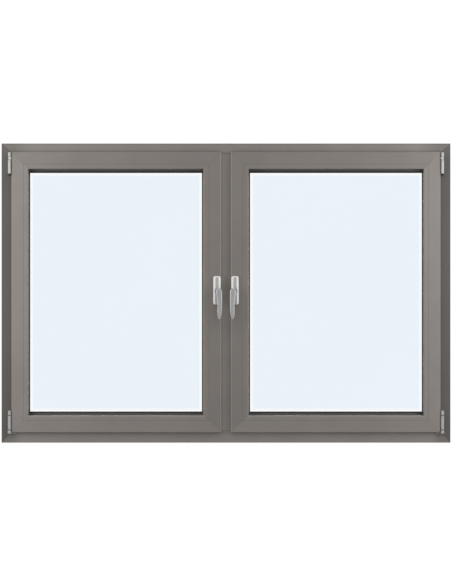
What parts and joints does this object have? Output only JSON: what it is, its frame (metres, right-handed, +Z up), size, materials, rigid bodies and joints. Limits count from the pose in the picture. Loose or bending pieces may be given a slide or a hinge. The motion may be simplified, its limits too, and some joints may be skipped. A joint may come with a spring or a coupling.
{
  "type": "casement window",
  "caption": "Casement window with a fixed mullion between mirrored sashes, foiled plastic profiles, sealed glazing and lever handles; the sashes turn and tilt inwards.",
  "frame": {"origin": "middle of the frame's underside, halfway through the frame's depth", "axes": "+X to the right as seen from the room, +Y towards the outside, +Z up"},
  "size_m": [1.8, 0.141, 1.2],
  "materials": {
    "foiled_profile": "satin foil with a fine grain",
    "foiled_bead": "satin foil with a fine grain",
    "gasket": "matt",
    "glass": "clear, slightly blue",
    "spacer": "matt",
    "handle_metal": "satin",
    "hinge_metal": "satin silver",
    "zinc_steel": "zinc plated"
  },
  "bodies": {
    "frame": {"frame_head": "foiled_profile", "frame_sill": "foiled_profile", "frame_jamb_left": "foiled_profile", "frame_jamb_right": "foiled_profile", "mullion": "foiled_profile", "left_stop_gasket": "gasket", "left_lower_hinge_bearing": "hinge_metal", "left_upper_hinge_bearing": "hinge_metal", "left_upper_hinge_pin": "zinc_steel", "left_striker": "zinc_steel", "right_stop_gasket": "gasket", "right_lower_hinge_bearing": "hinge_metal", "right_upper_hinge_bearing": "hinge_metal", "right_upper_hinge_pin": "zinc_steel", "right_striker": "zinc_steel"},
    "left_pin_block": {"left_lower_hinge_pin": "zinc_steel"},
    "left_sash": {"left_sash_top_rail": "foiled_profile", "left_sash_bottom_rail": "foiled_profile", "left_sash_hinge_stile": "foiled_profile", "left_sash_handle_stile": "foiled_profile", "left_bead_top": "foiled_bead", "left_bead_bottom": "foiled_bead", "left_bead_hinge_side": "foiled_bead", "left_bead_handle_side": "foiled_bead", "left_inner_pane": "glass", "left_outer_pane": "glass", "left_spacer_bar": "spacer", "left_inner_glazing_gasket": "gasket", "left_outer_glazing_gasket": "gasket", "left_overlap_gasket": "gasket", "left_lower_hinge_leaf": "hinge_metal", "left_gearbox": "zinc_steel", "left_handle_base": "handle_metal"},
    "left_handle": {"left_handle_lever": "handle_metal", "left_handle_spindle": "zinc_steel"},
    "left_rod": {"left_lock_rod": "zinc_steel"},
    "left_stay": {"left_stay_arm": "zinc_steel"},
    "right_pin_block": {"right_lower_hinge_pin": "zinc_steel"},
    "right_sash": {"right_sash_top_rail": "foiled_profile", "right_sash_bottom_rail": "foiled_profile", "right_sash_hinge_stile": "foiled_profile", "right_sash_handle_stile": "foiled_profile", "right_bead_top": "foiled_bead", "right_bead_bottom": "foiled_bead", "right_bead_hinge_side": "foiled_bead", "right_bead_handle_side": "foiled_bead", "right_inner_pane": "glass", "right_outer_pane": "glass", "right_spacer_bar": "spacer", "right_inner_glazing_gasket": "gasket", "right_outer_glazing_gasket": "gasket", "right_overlap_gasket": "gasket", "right_lower_hinge_leaf": "hinge_metal", "right_gearbox": "zinc_steel", "right_handle_base": "handle_metal"},
    "right_handle": {"right_handle_lever": "handle_metal", "right_handle_spindle": "zinc_steel"},
    "right_rod": {"right_lock_rod": "zinc_steel"},
    "right_stay": {"right_stay_arm": "zinc_steel"}
  },
  "joints": [
    {"name": "left_tilt", "type": "hinge", "parent": "frame", "child": "left_pin_block", "pos_m": [-0.8675, -0.053, 0.0435], "axis": [1, 0, 0], "range_deg": [0, 6]},
    {"name": "left_turn", "type": "hinge", "parent": "left_pin_block", "child": "left_sash", "pos_m": [-0.8675, -0.053, 0.0435], "axis": [0, 0, -1], "range_deg": [0, 90]},
    {"name": "left_handle_turn", "type": "hinge", "parent": "left_sash", "child": "left_handle", "pos_m": [-0.036, -0.05, 0.611], "axis": [0, 1, 0], "range_deg": [0, 180]},
    {"name": "left_rod_slide", "type": "slide", "parent": "left_sash", "child": "left_rod", "axis": [0, 0, 1], "range_m": [0, 0.036]},
    {"name": "left_stay_swing", "type": "hinge", "parent": "left_sash", "child": "left_stay", "pos_m": [-0.309, 0.0044, 1.1505], "axis": [0, -0.0523, -0.9986], "range_deg": [0, 12]},
    {"name": "right_tilt", "type": "hinge", "parent": "frame", "child": "right_pin_block", "pos_m": [0.8675, -0.053, 0.0435], "axis": [1, 0, 0], "range_deg": [0, 6]},
    {"name": "right_turn", "type": "hinge", "parent": "right_pin_block", "child": "right_sash", "pos_m": [0.8675, -0.053, 0.0435], "axis": [0, 0, 1], "range_deg": [0, 90]},
    {"name": "right_handle_turn", "type": "hinge", "parent": "right_sash", "child": "right_handle", "pos_m": [0.036, -0.05, 0.611], "axis": [0, -1, 0], "range_deg": [0, 180]},
    {"name": "right_rod_slide", "type": "slide", "parent": "right_sash", "child": "right_rod", "axis": [0, 0, 1], "range_m": [0, 0.036]},
    {"name": "right_stay_swing", "type": "hinge", "parent": "right_sash", "child": "right_stay", "pos_m": [0.309, 0.0044, 1.1505], "axis": [0, 0.0523, 0.9986], "range_deg": [0, 12]}
  ],
  "couplings": [
    {"joint": "left_rod_slide", "follows": "left_handle_turn", "m_per_rad": 0.01145},
    {"joint": "left_stay_swing", "follows": "left_tilt", "ratio": 1.96},
    {"joint": "right_rod_slide", "follows": "right_handle_turn", "m_per_rad": 0.01145},
    {"joint": "right_stay_swing", "follows": "right_tilt", "ratio": 1.96}
  ]
}
